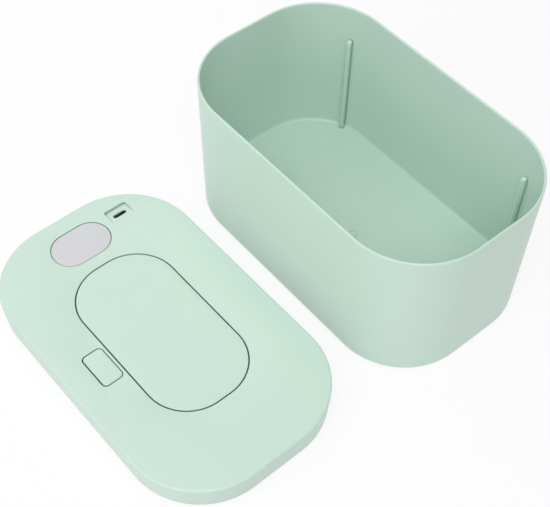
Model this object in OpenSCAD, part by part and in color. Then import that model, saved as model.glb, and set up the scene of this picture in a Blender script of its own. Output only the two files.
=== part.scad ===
// Baby wipe warmer: an open tub for the wipes, and beside it the heated lid unit with its door.
// Millimetres, +Z up. The origin is the middle of the tub's underside. The lid unit lies on the
// table on the tub's -Y side, as it does when it has been lifted off.

/* [Overall] */
// length of the tub and of the lid
body_l = 200; // [180:245]
// width of the tub and of the lid
body_w = 120; // [116:148]
// radius of the big corners, seen from above
corner_r = 44.5; // [38:54]
// height of the tub
tub_h = 96.5; // [70:130]
// height of the lid above the tub's rim
lid_h = 16; // [15.5:19.5]

/* [Tub] */
// wall thickness
tub_wall = 1.5; // [1.4:3]
// floor thickness
tub_floor = 2.4; // [1.8:3.5]
// how far each wall leans in on its way down
tub_draft = 1.5; // [0:3]
// radius of the fillets at the floor, inside and outside
foot_fillet = 2.5; // [1:5]
// height of the four upright ribs inside the corners
rib_top = 73.8; // [40:80]
// how far the ribs stand out from the wall
rib_out = 3.1; // [2:4.5]
// thickness of the ribs
rib_t = 2.4; // [1.5:3]
// angle of the ribs from the middle of the long wall's corner
rib_angle = 21.6; // [15:40]

/* [Lid] */
// thickness of the lid's top skin
skin = 2; // [1.8:2.4]
// wall thickness of the skirt
skirt_wall = 2.2; // [1.8:2.6]
// how far the skirt leans in on its way down
lid_taper = 0.9; // [0:1.2]
// rounding of the lid's top edge
edge_r = 1.2; // [0.5:2]
// depth that the locating ring drops into the tub
spigot_d = 3; // [2.5:5]
// clear space between the tub and the lid lying beside it
lid_away = 17.3; // [10:60]
// shift of the lying lid along the tub
lid_x = -6.7; // [-30:30]
// turn of the lying lid
lid_turn = 0.62; // [-5:5]

/* [Door] */
// length of the door's outline
door_l = 111.6; // [100:120]
// width of the door's outline
door_w = 60.2; // [54:66]
// radius of the door's corners
door_r = 26.2; // [20:27]
// width of the dark gap round the door
door_gap = 0.7; // [0.5:1]
// how far the hinge axis lies behind the door's back edge
hinge_back = 5.5; // [5.5:7]
// how far the hinge axis lies under the lid's top
hinge_drop = 3.4; // [3.4:3.8]
// distance of the two hinge arms from the middle
arm_x = 18; // [17:24]
// width of a hinge arm
arm_w = 5; // [4:6]
// inset of the dispensing opening from the door's edge
opening_inset = 10.5; // [10:14]

/* [Button and latch] */
// length of the button's outline
button_l = 22.8; // [18:28]
// width of the button's outline
button_w = 12.6; // [11:14]
// distance of the button's middle in front of the door's outline
button_away = 8.25; // [8:10]
// gap round the button
button_gap = 0.5; // [0.3:0.8]
// how far the button sits towards the door in its hole, pushed there by the latch spring
button_lean = 0.15; // [0:0.2]
// stroke of the button
button_stroke = 1.8; // [1:2]

/* [Window and port] */
// width of the window, along the lid
window_w = 24.4; // [20:28]
// length of the window, across the lid
window_l = 36.8; // [30:44]
// distance of the window's middle from the lid's end
window_in = 23.8; // [22:28]
// distance of the port from the lid's middle line
port_y = 30.5; // [28:31]
// length of the slot for the plug
port_l = 8.8; // [8.4:9.4]
// width of the slot for the plug
port_w = 3.0; // [2.7:3.6]

/* [Hidden] */
$fn = 72;

mint = "#cfe9dc";
steel = "#b9bec4";

// plan of the body: half sizes between the corner centres
body_a = body_l / 2 - corner_r;
body_b = body_w / 2 - corner_r;
rim_r = tub_wall * 0.48;
// the lip of the lid's seal ends just short of the tub's wall
seal_r = corner_r - tub_wall - 0.4;
door_a = door_l / 2 - door_r;
door_b = door_w / 2 - door_r;

// heights in the lid, above the table
top_z = spigot_d + lid_h;
skin_z = top_z - skin;
cover_z = spigot_d + 2;
cover_t = 2;
deck_z = cover_z + cover_t;
ledge_t = 2;
ledge_z = top_z - 7;
board_z = deck_z + 1;
board_t = 1.2;
board_top = board_z + board_t;
plate_z = spigot_d - 1.5;
plate_t = 1;
film_t = 0.3;
pad_z = plate_z + plate_t + film_t;

// door, well and opening
door_edge = door_w / 2 - door_gap / 2;
well_edge = door_w / 2 + door_gap / 2;
well_wall = 1.5;
tunnel_wall = 1.6;
hinge_y = door_edge + hinge_back;
hinge_z = top_z - hinge_drop;
pin_r = 1;
hub_r = 1.8;
bay_in = arm_x - arm_w / 2 - 0.6;
bay_out = arm_x + arm_w / 2 + 0.6;
spring_bay = bay_in - 4.5;
cheek_t = 1.2;

// button and latch
button_y = -(door_w / 2 + button_away);
slider_z = top_z - 7;
slider_t = 2.3;
slider_w = 12.4;
wedge_back = button_y + 2.1;
wedge_low = slider_z + 0.6;
wedge_foot = wedge_back - 2.5;
cap_t = 2.6;
nose_y = -(door_edge - 0.6);
// from the button's middle to the stop behind the latch spring; slider and spring share it
latch_room = body_w / 2 + button_y - 7;
spring_stop = button_y - latch_room;
spring_l = latch_room * 11 / 29;
slider_back = spring_stop + spring_l;

// window, port and board, from the lid's window end
window_x = -body_l / 2 + window_in;
port_x = window_x - 4.9;
board_x0 = window_x - 11.8;
board_x1 = window_x + 15.7;
board_y0 = -26;
board_y1 = port_y + 7.5;

// screws: places in the lid's own plan
cover_spots = [for (sx = [-1, 1], sy = [-1, 1]) each [
  [sx * (body_a + 13.5), sy * (body_b + 28.5)],
  [sx * (bay_out + 8.9), sy * (body_w / 2 - 9.5)]
]];
plate_spots = [for (sx = [-1, 1], sy = [-1, 1]) [sx * (body_a + 14.5), sy * (body_b + 11.5)]];
board_spots = [for (x = [board_x0 + 3, board_x1 - 4], y = [board_y0 + 4, board_y1 - 17.5]) [x, y]];
sensor_at = [-(body_a + 5), body_b + 17];
fuse_at = [body_a - 12, body_b + 17];
lead_at = [board_x1 + 8.5, board_y1 - 4];

// ---- shared shapes ----

function arc(cx, cy, r, a0, a1, n) =
  [for (i = [0:n]) let (t = a0 + (a1 - a0) * i / n) [cx + r * cos(t), cy + r * sin(t)]];

// a rectangle with true round corners
module oblong(l, w, r) {
  a = l / 2 - r;
  b = w / 2 - r;
  for (x = [-a, a], y = [-b, b]) translate([x, y]) circle(r);
  square([2 * a, w], center = true);
  square([l, 2 * b], center = true);
}

// a slot with round ends, its length along Y
module slot(w, l) {
  for (y = [-1, 1]) translate([0, y * (l - w) / 2]) circle(d = w);
  square([w, l - w], center = true);
}

// the body's and the door's plan, a stated distance inside their outlines
module body_plan(inset) oblong(body_l - 2 * inset, body_w - 2 * inset, corner_r - inset);
module door_plan(inset) oblong(door_l - 2 * inset, door_w - 2 * inset, door_r - inset);

// a section (x outward from the corner centres, y up) carried round a rectangle of half sizes a, b
module carried(a, b, section) {
  for (sx = [0, 1], sy = [0, 1]) mirror([sx, 0, 0]) mirror([0, sy, 0])
    translate([a, b, 0]) rotate_extrude(angle = 90) polygon(section);
  for (sy = [0, 1]) mirror([0, sy, 0])
    translate([-a, b, 0]) rotate([90, 0, 90]) linear_extrude(2 * a) polygon(section);
  for (sx = [0, 1]) mirror([sx, 0, 0])
    translate([a, b, 0]) rotate([90, 0, 0]) linear_extrude(2 * b) polygon(section);
}

// a ring between two insets of a plan, from z0 to z1
module door_ring(outer, inner, z0, z1) translate([0, 0, z0]) linear_extrude(z1 - z0)
  difference() {
    door_plan(outer);
    door_plan(inner);
  }

module block(x, y, z) translate([x[0], y[0], z[0]]) cube([x[1] - x[0], y[1] - y[0], z[1] - z[0]]);
module along_x(x0, x1) translate([x0, 0, 0]) rotate([90, 0, 90]) linear_extrude(x1 - x0) children();
module post(at, r, z0, z1) translate([at[0], at[1], z0]) cylinder(h = z1 - z0, r = r);
module in_lid() translate([lid_x, -(body_w + lid_away), 0]) rotate([0, 0, lid_turn]) children();

// wire of round section through a list of points, as one unbroken tube
function unit(v) = v / norm(v);
function heading(p) =
  [for (i = [0:len(p) - 1]) unit(p[min(i + 1, len(p) - 1)] - p[max(i - 1, 0)])];
function square_to(n, t) = unit(n - (n * t) * t);
function sides_of(t, first) =
  [for (i = 0, n = square_to(first, t[0]); i < len(t); i = i + 1,
        n = i < len(t) ? square_to(n, t[i]) : n) n];
module wire(p, r, first, k = 6) {
  t = heading(p);
  n = sides_of(t, first);
  pts = [for (i = [0:len(p) - 1], j = [0:k - 1])
    p[i] + r * (cos(360 * j / k) * n[i] + sin(360 * j / k) * cross(t[i], n[i]))];
  skin_faces = [for (i = [0:len(p) - 2], j = [0:k - 1]) let (q = (j + 1) % k) each [
    [i * k + j, (i + 1) * k + j, (i + 1) * k + q],
    [i * k + j, (i + 1) * k + q, i * k + q]
  ]];
  caps = [[for (j = [0:k - 1]) j], [for (j = [0:k - 1]) (len(p) - 1) * k + k - 1 - j]];
  polyhedron(points = pts, faces = concat(skin_faces, caps));
}
function coil(r, z0, z1, turns, grow = 0) = [for (i = [0:turns * 8])
  let (u = i / (turns * 8), a = 45 * i) [(r + grow * u) * cos(a), (r + grow * u) * sin(a), z0 + (z1 - z0) * u]];
// a pressed coil: flat end turns, open turns between them
function pressed(r, z0, z1, turns, d) = [for (i = [0:turns * 8])
  let (u = i / 8, a = 45 * i, open = (z1 - z0 - 2 * d) / (turns - 2),
       z = u < 1 ? d * u : u > turns - 1 ? z1 - z0 - d * (turns - u) : d + open * (u - 1))
  [r * cos(a), r * sin(a), z0 + z]];

// ---- tub ----

module tub() color(mint) {
  low = corner_r - tub_draft;
  section = concat(
    [[0, 0]], arc(low - foot_fillet, foot_fillet, foot_fillet, -84, -2, 6),
    arc(corner_r - rim_r, tub_h - rim_r, rim_r, 2, 88, 4),
    arc(corner_r - tub_wall + rim_r, tub_h - rim_r, rim_r, 92, 178, 4),
    arc(low - tub_wall - foot_fillet, tub_floor + foot_fillet, foot_fillet, -2, -84, 6),
    [[0, tub_floor]]);
  lean = tub_draft * rib_top / tub_h;
  difference() {
    union() {
      carried(body_a, body_b, section);
      translate([-body_a, -body_b, 0]) cube([2 * body_a, 2 * body_b, tub_floor]);
    }
    // shallow groove round the underside
    translate([0, 0, -1]) linear_extrude(1.4) difference() {
      body_plan(11);
      body_plan(12.4);
    }
  }
  for (sx = [0, 1], sy = [0, 1]) mirror([sx, 0, 0]) mirror([0, sy, 0])
    translate([body_a, body_b, 0]) rotate([0, 0, 90 - rib_angle]) rotate([90, 0, 0])
      linear_extrude(rib_t, center = true) polygon([
        [low - tub_wall - rib_out, tub_floor - 0.6],
        [low - tub_wall - rib_out + lean * 0.97, rib_top - 2.2],
        [low - tub_wall - rib_out + lean + 0.5, rib_top - 0.7],
        [low - tub_wall - rib_out + lean + 1.4, rib_top],
        [low - tub_wall + lean + 0.9, rib_top],
        [low - tub_wall + 0.9, tub_floor - 0.6]
      ]);
  // ring left by the mould's gate
  translate([1, -1.8, tub_floor - 0.2]) difference() {
    cylinder(h = 0.45, r = 2.7);
    translate([0, 0, -1]) cylinder(h = 2, r = 2.1);
  }
}

// ---- lid top shell ----

module port_pocket() {
  far = port_x - 6;
  near = port_x + 4.6;
  intersection() {
    translate([(far + near) / 2, port_y, top_z - 3]) linear_extrude(4) oblong(near - far, 15, 1.6);
    translate([0, port_y + 10, 0]) rotate([90, 0, 0]) linear_extrude(20)
      polygon([[far - 1, top_z - 1.75], [near, top_z], [near + 1, top_z + 2], [far - 1, top_z + 2]]);
  }
}

module lid_top_shell() color(mint) in_lid() difference() {
  union() {
    carried(body_a, body_b, concat(
      [[corner_r - lid_taper, spigot_d]],
      arc(corner_r - edge_r, top_z - edge_r, edge_r, 2, 88, 5),
      [[0, top_z], [0, skin_z], [corner_r - skirt_wall, skin_z],
       [corner_r - lid_taper - skirt_wall, spigot_d]]));
    block([-body_a, body_a], [-body_b, body_b], [skin_z, top_z]);
    door_ring(-door_gap / 2 - well_wall, door_gap, ledge_z - ledge_t, skin_z + 0.5);
    door_ring(0, opening_inset, ledge_z - ledge_t, ledge_z);
    door_ring(opening_inset - tunnel_wall, opening_inset, deck_z, ledge_z - ledge_t + 0.5);
    // cheeks that hold the hinge pin
    for (x = [-bay_in, spring_bay, bay_out, -bay_out - cheek_t])
      block(x < 0 ? [x, x + cheek_t] : x == spring_bay ? [x - cheek_t, x] : [x, x + cheek_t],
            [well_edge, hinge_y + 3.3], [hinge_z - 3.1, skin_z + 0.5]);
    // rest for the fixed leg of the door spring
    block([spring_bay - 0.2, spring_bay + 1.6], [hinge_y + 4.4, hinge_y + 6.6],
          [hinge_z - 1.08, skin_z + 0.5]);
    // guides beside the button, and the stop behind the latch spring
    for (sx = [0, 1]) mirror([sx, 0, 0])
      block([button_l / 2 + 1.4, button_l / 2 + 2.4], [button_y - 6, button_y + 6],
            [skin_z - 4, skin_z + 0.5]);
    block([-4, 4], [spring_stop - 1.2, spring_stop], [slider_z - 1, skin_z + 0.5]);
    translate([0, spring_stop + spring_l / 3, slider_z + slider_t / 2]) rotate([90, 0, 0])
      cylinder(h = spring_l / 3 + 0.4, r = 0.9);
    // thicker skin round the port, clear of the window's flange
    difference() {
      block([window_x - 12.8, window_x + 2.2], [port_y - 9, port_y + 9], [skin_z - 1.1, skin_z + 0.5]);
      translate([window_x, 0, skin_z - 2]) linear_extrude(2) slot(window_w + 2.8, window_l + 2.8);
    }
    for (at = cover_spots) post(at, 3, deck_z, skin_z + 0.5);
  }
  translate([0, 0, ledge_z]) linear_extrude(20) door_plan(-door_gap / 2);
  // bays of the two hinge arms, one of them wider for the door spring
  for (b = [[-bay_out, -bay_in], [spring_bay, bay_out]]) {
    block(b, [well_edge - 0.01, hinge_y + 2.6], [hinge_z - 3.2, skin_z + 0.9]);
    block(b, [door_edge - 7, well_edge + well_wall + 0.01], [deck_z, skin_z]);
  }
  translate([0, hinge_y, hinge_z]) along_x(-bay_out - 5, bay_out + 5) circle(pin_r + 0.02);
  // room for the catch, and the window for the latch's nose
  block([-4.8, 4.8], [-well_edge, -door_edge + 4.9], [ledge_z - ledge_t - 1, ledge_z + 0.01]);
  block([-4.6, 4.6], [-well_edge - well_wall - 1, -door_edge], [slider_z + 0.6, slider_z + 3]);
  translate([0, button_y - button_lean, skin_z - 1]) linear_extrude(10)
    oblong(button_l + button_gap, button_w + button_gap, 2.8);
  translate([window_x, 0, skin_z - 1]) linear_extrude(10) slot(window_w + 0.3, window_l + 0.3);
  port_pocket();
  translate([port_x, port_y, skin_z - 3]) linear_extrude(10) slot(port_w, port_l);
  for (at = cover_spots) post(at, 1.28, deck_z - 1, skin_z - 1);
}

// ---- lid base cover ----

module lid_base_cover() color("#d8eee3") in_lid() difference() {
  union() {
    translate([0, 0, cover_z]) linear_extrude(cover_t) body_plan(3.35);
    carried(body_a, body_b, [
      [corner_r - 5.4, 0], [corner_r - 4.2, 0], [corner_r - 3.6, 0.6], [corner_r - 3.6, 1],
      [corner_r - 3.9, 1], [corner_r - 3.9, 2.6], [corner_r - 3.6, 2.6],
      [corner_r - 3.6, cover_z + 0.5], [corner_r - 5.4, cover_z + 0.5]
    ]);
    // collar below, and the lip that holds the well's tunnel above
    door_ring(opening_inset - 1.6, opening_inset, 1, cover_z + 0.5);
    door_ring(opening_inset - tunnel_wall - 1.5, opening_inset - tunnel_wall - 0.3,
              deck_z - 0.5, deck_z + 1.6);
    for (at = plate_spots) post(at, 3, plate_z + plate_t, cover_z + 0.5);
    for (at = board_spots) post(at, 2.6, deck_z - 0.5, board_z);
    // rails under the latch, its side guides, and the button springs' seats
    for (sx = [0, 1]) mirror([sx, 0, 0]) {
      block([3.9, slider_w / 2 + 1.1], [slider_back - 1, -well_edge - well_wall - 0.6],
            [deck_z - 0.5, slider_z - 0.2]);
      block([slider_w / 2 + 0.3, slider_w / 2 + 1.1],
            [slider_back - 1, -well_edge - well_wall - 0.6], [slider_z - 0.5, slider_z + 2.2]);
      post([button_l / 2 - 2.7, button_y], 1.45, deck_z - 0.5, deck_z + 1.5);
      post([button_l / 2 - 2.7, button_y], 0.7, deck_z, deck_z + 3);
    }
  }
  translate([0, 0, -1]) linear_extrude(deck_z + 2) door_plan(opening_inset);
  post([lead_at[0], lead_at[1]], 3.4, cover_z - 1, deck_z + 1);
  for (at = cover_spots) post(at, 1.4, cover_z - 1, deck_z + 1);
  for (at = plate_spots) post(at, 1.28, plate_z, deck_z - 0.5);
  for (at = board_spots) post(at, 0.93, cover_z + 0.6, board_z + 1);
}

// ---- door ----

module hinge_arm() along_x(-arm_w / 2, arm_w / 2) difference() {
  union() {
    circle(hub_r);
    translate([-1.4, -8.1]) square([2.8, 8.1]);
    polygon([[-7.9, -8.1], [1.4, -8.1], [1.4, -6.3], [-6.7, -6.3], [-6.7, hinge_drop - 1.6],
             [-8.7, hinge_drop - 1.6], [-8.7, -7.3]]);
  }
  circle(pin_r + 0.05);
}

module door() color(mint) in_lid() {
  rim = door_r - door_gap / 2;
  carried(door_a, door_b, [
    [0, skin_z], [rim - 1.2, skin_z], [rim, top_z - 0.8], [rim, top_z - 0.3], [rim - 0.3, top_z],
    [0, top_z]
  ]);
  block([-door_a, door_a], [-door_b, door_b], [skin_z, top_z]);
  door_ring(door_gap / 2 + 7.8, door_gap / 2 + 9.4, ledge_z + 1.6, skin_z + 0.4);
  for (x = [-arm_x, arm_x]) translate([x, hinge_y, hinge_z]) hinge_arm();
  // catch for the latch
  along_x(-4, 4) translate([-door_edge, top_z]) polygon([
    [4.2, -1.7], [4.2, -8], [2.6, -8.2], [1.2, -7.2], [1.2, -6.7], [2.4, -6.6], [2.4, -1.7]
  ]);
}

// ---- button and latch ----

module release_button() color(mint) in_lid() {
  translate([0, button_y, top_z - cap_t]) linear_extrude(cap_t)
    oblong(button_l - button_gap, button_w - button_gap, 2.4);
  for (sx = [0, 1]) mirror([sx, 0, 0])
    block([button_l / 2 - 1.1, button_l / 2 + 1], [button_y - 2.5, button_y + 2.5],
          [skin_z - 1.3, skin_z - 0.1]);
  along_x(-3.2, 3.2) polygon([
    [wedge_foot, wedge_low], [wedge_back, wedge_low], [wedge_back, top_z - cap_t + 0.4],
    [wedge_foot - (top_z - cap_t - wedge_low) - 0.4, top_z - cap_t + 0.4]
  ]);
}

module latch_slider() color("#e9ebe9") in_lid() {
  front = -well_edge - well_wall - 0.3;
  ramp = wedge_foot + wedge_low - 0.43;
  difference() {
    block([-slider_w / 2, slider_w / 2], [slider_back, front], [slider_z, slider_z + slider_t]);
    along_x(-3.7, 3.7) polygon([
      [ramp - slider_z + 1, slider_z - 1], [ramp - slider_z - slider_t - 1, slider_z + slider_t + 1],
      [wedge_back + button_stroke + 0.4, slider_z + slider_t + 1],
      [wedge_back + button_stroke + 0.4, slider_z - 1]
    ]);
  }
  along_x(-4.2, 4.2) polygon([
    [front - 0.5, slider_z + 1], [nose_y - 1.2, slider_z + 1], [nose_y, slider_z + 1.9],
    [nose_y, slider_z + slider_t], [front - 0.5, slider_z + slider_t]
  ]);
  translate([0, slider_back + 0.3, slider_z + slider_t / 2]) rotate([90, 0, 0])
    cylinder(h = 0.3 + spring_l / 4, r = 0.9);
}

// ---- window, seals ----

module window_lens() color("#dcdce2") in_lid() translate([window_x, 0, 0]) {
  translate([0, 0, skin_z - 0.4]) linear_extrude(skin + 0.4) slot(window_w - 0.3, window_l - 0.3);
  translate([0, 0, skin_z - 0.8]) linear_extrude(0.8) slot(window_w + 2.2, window_l + 2.2);
}

module door_gasket() color("#e4e8e6") in_lid() {
  far = door_r - door_gap / 2 - 7.6;
  near = far - 2.2;
  carried(door_a, door_b, [
    [near, ledge_z], [far, ledge_z], [far, ledge_z + 0.7], [far - 0.7, ledge_z + 1.3],
    [near + 0.7, ledge_z + 1.3], [near, ledge_z + 0.7]
  ]);
}

module lid_seal() color("#e4e8e6") in_lid() carried(body_a, body_b, [
  [corner_r - 3.9, 1.1], [corner_r - 3.3, 1.1], [seal_r, 1.7], [seal_r, 2],
  [corner_r - 3.3, 2.5], [corner_r - 3.9, 2.5]
]);

// ---- hinge pin and springs ----

module hinge_pin() color(steel) in_lid() translate([0, hinge_y, hinge_z])
  along_x(-bay_out - cheek_t - 0.7, bay_out + cheek_t + 0.7) circle(pin_r);

module door_spring() color(steel) in_lid() translate([0, hinge_y, hinge_z]) {
  r = 1.4;
  turns = 6;
  x0 = spring_bay + 0.7;
  x1 = bay_in + 0.1;
  steps = 8 * turns - 2;
  wound = [for (i = [0:steps]) let (a = 270 - 45 * i)
    [x0 + (x1 - x0) * i / steps, r * cos(a), r * sin(a)]];
  wire(concat([[x0, 6.2, -r], [x0, 1, -r]], wound,
              [[x1, 1.6, -2], [x1, 1.72, -3.6], [x1 + 0.35, 1.72, -3.95], [x1 + 2.6, 1.72, -4]]),
       0.25, [1, 0, 0]);
}

module button_springs() color(steel) in_lid()
  for (sx = [0, 1]) mirror([sx, 0, 0]) translate([button_l / 2 - 2.7, button_y, 0])
    wire(pressed(1.15, deck_z + 1.75, top_z - cap_t - 0.25, 6, 0.5), 0.22, [1, 0, 0]);

module latch_spring() color(steel) in_lid()
  translate([0, spring_stop, slider_z + slider_t / 2]) rotate([-90, 0, 0])
    wire(pressed(1.45, 0.28, spring_l - 0.28, 5, 0.5), 0.24, [1, 0, 0]);

module touch_spring() color(steel) in_lid()
  translate([window_x, -11.8, 0]) wire(coil(2.2, board_top + 0.3, skin_z - 1.15, 5, 1.1), 0.3, [1, 0, 0]);

// ---- heater ----

module heater_plan(inset) difference() {
  body_plan(16 + inset);
  door_plan(opening_inset - 2.1 - inset);
}

module heating_plate() color("#c9ccd0") in_lid() translate([0, 0, plate_z]) difference() {
  linear_extrude(plate_t) heater_plan(0);
  for (at = plate_spots) post(at, 1.4, -1, 2);
}

module heating_film() color("#b5651d") in_lid() translate([0, 0, plate_z + plate_t]) difference() {
  linear_extrude(film_t) heater_plan(1.5);
  for (at = plate_spots) post(at, 3.4, -1, 2);
}

module insulation_pad() color("#8f9499") in_lid() difference() {
  translate([0, 0, pad_z]) linear_extrude(cover_z - pad_z) heater_plan(0.8);
  for (at = plate_spots) post(at, 3.4, 0, cover_z + 1);
  post(lead_at, 3.4, 0, cover_z + 1);
  for (at = [sensor_at, fuse_at]) block([at[0] - 6.5, at[0] + 6.5], [at[1] - 2, at[1] + 2], [0, cover_z + 1]);
}

module temperature_sensor() color("#2b2b2e") in_lid() translate([0, sensor_at[1], pad_z + 1.05]) {
  along_x(sensor_at[0] - 2.5, sensor_at[0] + 2.5) circle(1.05);
  for (y = [-0.5, 0.5]) translate([0, y, 0]) along_x(sensor_at[0] + 2, sensor_at[0] + 6) circle(0.25);
}

module thermal_fuse() color("#d9d2c3") in_lid() translate([0, fuse_at[1], pad_z + 1.05]) {
  along_x(fuse_at[0] - 4, fuse_at[0] + 4) circle(1.05);
  along_x(fuse_at[0] - 6, fuse_at[0] + 6) circle(0.3);
}

// ---- electronics ----

module control_board() color("#2f7d4f") in_lid() difference() {
  translate([(board_x0 + board_x1) / 2, (board_y0 + board_y1) / 2, board_z])
    linear_extrude(board_t) oblong(board_x1 - board_x0, board_y1 - board_y0, 2);
  for (at = board_spots) post(at, 1.05, 0, board_top + 1);
}

module board_parts() color("#26272a") in_lid() {
  block([board_x1 - 8, board_x1 - 2], [-6, 0], [board_top, board_top + 1.1]);
  for (y = [4, 8, 12]) block([board_x1 - 6, board_x1 - 3], [y, y + 1.6], [board_top, board_top + 0.8]);
  post([board_x1 - 5, -13], 2.5, board_top, board_top + 5.4);
}

module display_module() color("#33353a") in_lid() difference() {
  block([window_x - 8, window_x + 6.4], [-5, 16.4], [board_top, skin_z - 1.1]);
  for (i = [0:2]) translate([window_x - 0.8, 0.2 + 5.6 * i, skin_z - 1.4]) linear_extrude(1) {
    for (x = [-3.9, 0, 3.9]) translate([x, 0]) square([0.7, 2.6], center = true);
    for (x = [-1.95, 1.95], y = [-1.7, 1.7]) translate([x, y]) square([2.8, 0.7], center = true);
  }
}

module usb_c_socket() color(steel) in_lid() translate([port_x, port_y, 0]) {
  mouth_z = skin_z - 1.3;
  difference() {
    translate([0, 0, board_top]) linear_extrude(mouth_z - board_top) slot(3.26, 8.94);
    translate([0, 0, board_top + 1]) linear_extrude(20) slot(2.56, 8.34);
  }
  block([-0.35, 0.35], [-3.3, 3.3], [board_top + 0.5, mouth_z - 0.8]);
  for (y = [-1, 1]) block([-2.2, 2.2], [y * 4.9 - 0.6, y * 4.9 + 0.6], [board_top, board_top + 1.4]);
}

module wire_connector() color("#efe9dc") in_lid() difference() {
  block([board_x1 - 6.5, board_x1 - 1], [board_y1 - 15, board_y1 - 4], [board_top, board_top + 4.6]);
  block([board_x1 - 5.5, board_x1 + 1], [board_y1 - 14.2, board_y1 - 4.8], [board_top + 1, board_top + 3.8]);
}

module wires() color("#b8322a") in_lid() for (i = [0:3]) {
  from = [lead_at[0] - 1.1 + 2.2 * (i % 2), lead_at[1] - 1.1 + 2.2 * floor(i / 2)];
  rise = board_top + 1.6 + 0.9 * (i % 2);
  goal = [board_x1 - 5.4, board_y1 - 12.4 + 1.9 * i];
  p = concat([[from[0], from[1], pad_z + 0.6], [from[0], from[1], rise - 2.4]],
    [for (k = [1:5]) let (u = k / 6, b = 3 * u * u - 2 * u * u * u)
      [from[0] + (board_x1 + 1.5 - from[0]) * b, from[1] + (goal[1] - from[1]) * b,
       rise - 2.4 + 2.4 * sin(90 * u)]],
    [[board_x1 + 1.5, goal[1], rise], [goal[0], goal[1], rise]]);
  wire(p, 0.45, [1, 0, 0.1], 8);
}

// ---- screws ----

module screw(at, head_r, head_h, shaft_r, length, z, up) translate([at[0], at[1], z])
  mirror([0, 0, up ? 1 : 0]) difference() {
    union() {
      cylinder(h = head_h * 0.55, r = head_r);
      translate([0, 0, head_h * 0.55]) cylinder(h = head_h * 0.45, r1 = head_r, r2 = head_r * 0.7);
      translate([0, 0, -length]) cylinder(h = length + 0.2, r = shaft_r);
    }
    for (a = [0, 90]) rotate([0, 0, a]) translate([-head_r * 0.5, -0.25, head_h * 0.4])
      cube([head_r, 0.5, head_h]);
  }

module cover_screws() color(steel) in_lid()
  for (at = cover_spots) screw(at, 2.5, 1.5, 1.25, 9, cover_z, true);

module plate_screws() color(steel) in_lid()
  for (at = plate_spots) screw(at, 2.3, 1.1, 1.25, 4.3, plate_z, true);

module board_screws() color(steel) in_lid()
  for (at = board_spots) screw(at, 1.8, 1.2, 0.9, 3.2, board_top, false);

tub();
lid_top_shell();
lid_base_cover();
door();
release_button();
latch_slider();
window_lens();
door_gasket();
lid_seal();
hinge_pin();
door_spring();
button_springs();
latch_spring();
heating_plate();
heating_film();
insulation_pad();
temperature_sensor();
thermal_fuse();
control_board();
board_parts();
display_module();
touch_spring();
usb_c_socket();
wire_connector();
wires();
cover_screws();
plate_screws();
board_screws();
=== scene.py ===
import math

import bmesh
import bpy
from mathutils import Matrix, Vector


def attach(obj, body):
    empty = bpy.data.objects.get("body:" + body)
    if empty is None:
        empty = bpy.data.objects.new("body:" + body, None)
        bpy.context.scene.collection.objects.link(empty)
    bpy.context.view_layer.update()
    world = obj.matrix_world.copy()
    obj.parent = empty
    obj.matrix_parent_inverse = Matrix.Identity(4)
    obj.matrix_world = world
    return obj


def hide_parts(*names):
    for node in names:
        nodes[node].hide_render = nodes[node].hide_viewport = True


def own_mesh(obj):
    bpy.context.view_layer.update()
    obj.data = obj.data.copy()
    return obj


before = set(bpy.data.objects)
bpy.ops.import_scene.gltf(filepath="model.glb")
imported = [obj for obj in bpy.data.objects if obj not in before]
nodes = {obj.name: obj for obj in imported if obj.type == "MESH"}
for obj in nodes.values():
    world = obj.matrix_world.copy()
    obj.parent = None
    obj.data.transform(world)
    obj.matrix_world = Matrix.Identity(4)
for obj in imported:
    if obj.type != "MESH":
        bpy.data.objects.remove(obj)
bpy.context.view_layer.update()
print("frame loaded,", len(nodes), "nodes")

# Sizes are in millimetres, as in the part's source, and become metres when a piece is finished.
toMetres = Matrix.Scale(0.001, 4)
lidPlace = Matrix.Translation((-6.7, -137.3, 0)) @ Matrix.Rotation(math.radians(0.62), 4, "Z")
tubPlace = Matrix.Identity(4)

# ---- camera ----

cameraView = {
    "azimuth": 49.3846, "elevation": 52.0989, "roll": 1.1785,
    "target": (-18.473, -46.517, 0), "distance": 673.701, "focalPixels": 1134.978, "imageWidth": 550,
}


def addCamera(c):
    az, el, roll = (math.radians(c[k]) for k in ("azimuth", "elevation", "roll"))
    back = Vector((math.sin(az) * math.cos(el), -math.cos(az) * math.cos(el), math.sin(el)))
    right = Vector((math.cos(az), math.sin(az), 0))
    up = back.cross(right)
    side = right * math.cos(roll) + up * math.sin(roll)
    top = up * math.cos(roll) - right * math.sin(roll)
    data = bpy.data.cameras.new("camera")
    data.sensor_width = 36
    data.lens = c["focalPixels"] * data.sensor_width / c["imageWidth"]
    data.clip_start, data.clip_end = 0.01, 20
    camera = bpy.data.objects.new("camera", data)
    bpy.context.scene.collection.objects.link(camera)
    place = Matrix((side, top, back)).transposed().to_4x4()
    place.translation = (Vector(c["target"]) + back * c["distance"]) * 0.001
    camera.matrix_world = place
    bpy.context.scene.camera = camera


addCamera(cameraView)
print("camera placed")

# ---- materials ----

groupSockets = {"Float": "NodeSocketFloat", "Color": "NodeSocketColor", "Vector": "NodeSocketVector"}


def newGroup(name, inputs, outputs):
    tree = bpy.data.node_groups.new(name, "ShaderNodeTree")
    for label, kind, value in inputs:
        socket = tree.interface.new_socket(label, in_out="INPUT", socket_type=groupSockets[kind])
        socket.default_value = value
    for label, kind in outputs:
        tree.interface.new_socket(label, in_out="OUTPUT", socket_type=groupSockets[kind])
    return tree, tree.nodes.new("NodeGroupInput"), tree.nodes.new("NodeGroupOutput")


def put(tree, kind, settings=None, **values):
    node = tree.nodes.new("ShaderNode" + kind)
    for key, value in (settings or {}).items():
        setattr(node, key, value)
    for key, value in values.items():
        node.inputs[key].default_value = value
    return node


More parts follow.
